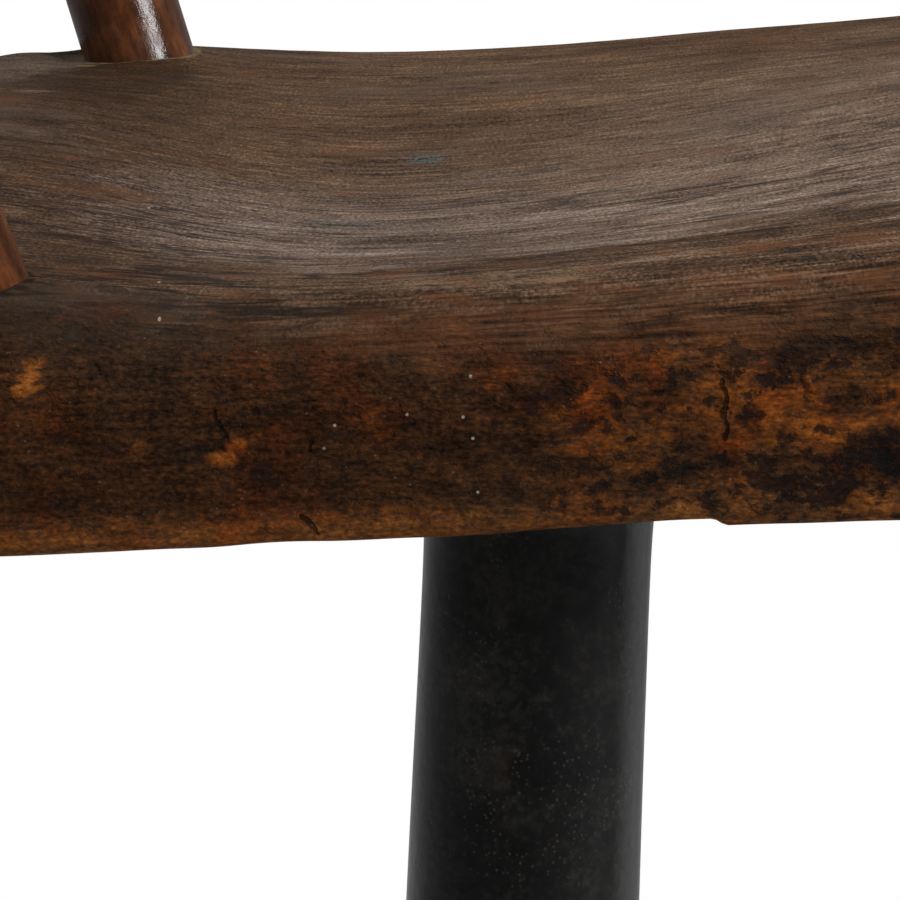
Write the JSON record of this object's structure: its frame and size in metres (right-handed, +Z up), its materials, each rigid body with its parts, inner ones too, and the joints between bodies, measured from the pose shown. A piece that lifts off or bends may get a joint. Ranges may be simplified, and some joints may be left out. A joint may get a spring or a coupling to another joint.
{
  "type": "classroom chair",
  "caption": "Classroom chair with a thick scooped plank seat on black staked legs braced by stretchers, and a raked back of round posts, a slat and a bowed crest rail.",
  "frame": {"origin": "on the floor, below the middle of the chair's bounding box", "axes": "+Z up, the sitter faces -Y, +X is the sitter's left"},
  "size_m": [0.4662, 0.4966, 0.7465],
  "materials": {
    "seat_wood": "worn, satin",
    "back_wood": "gloss varnish",
    "leg_wood": "matte black",
    "peg_wood": "matte"
  },
  "bodies": {
    "root": {"back_slat": "back_wood", "crest_rail": "back_wood", "cross_stretcher": "leg_wood", "left_back_post": "back_wood", "left_crest_peg": "peg_wood", "left_front_leg": "leg_wood", "left_front_leg_wedge": "peg_wood", "left_post_wedge": "peg_wood", "left_rear_leg": "leg_wood", "left_rear_leg_wedge": "peg_wood", "left_side_stretcher": "leg_wood", "left_slat_peg": "peg_wood", "right_back_post": "back_wood", "right_crest_peg": "peg_wood", "right_front_leg": "leg_wood", "right_front_leg_wedge": "peg_wood", "right_post_wedge": "peg_wood", "right_rear_leg": "leg_wood", "right_rear_leg_wedge": "peg_wood", "right_side_stretcher": "leg_wood", "right_slat_peg": "peg_wood", "seat_plank": "seat_wood"}
  },
  "joints": []
}
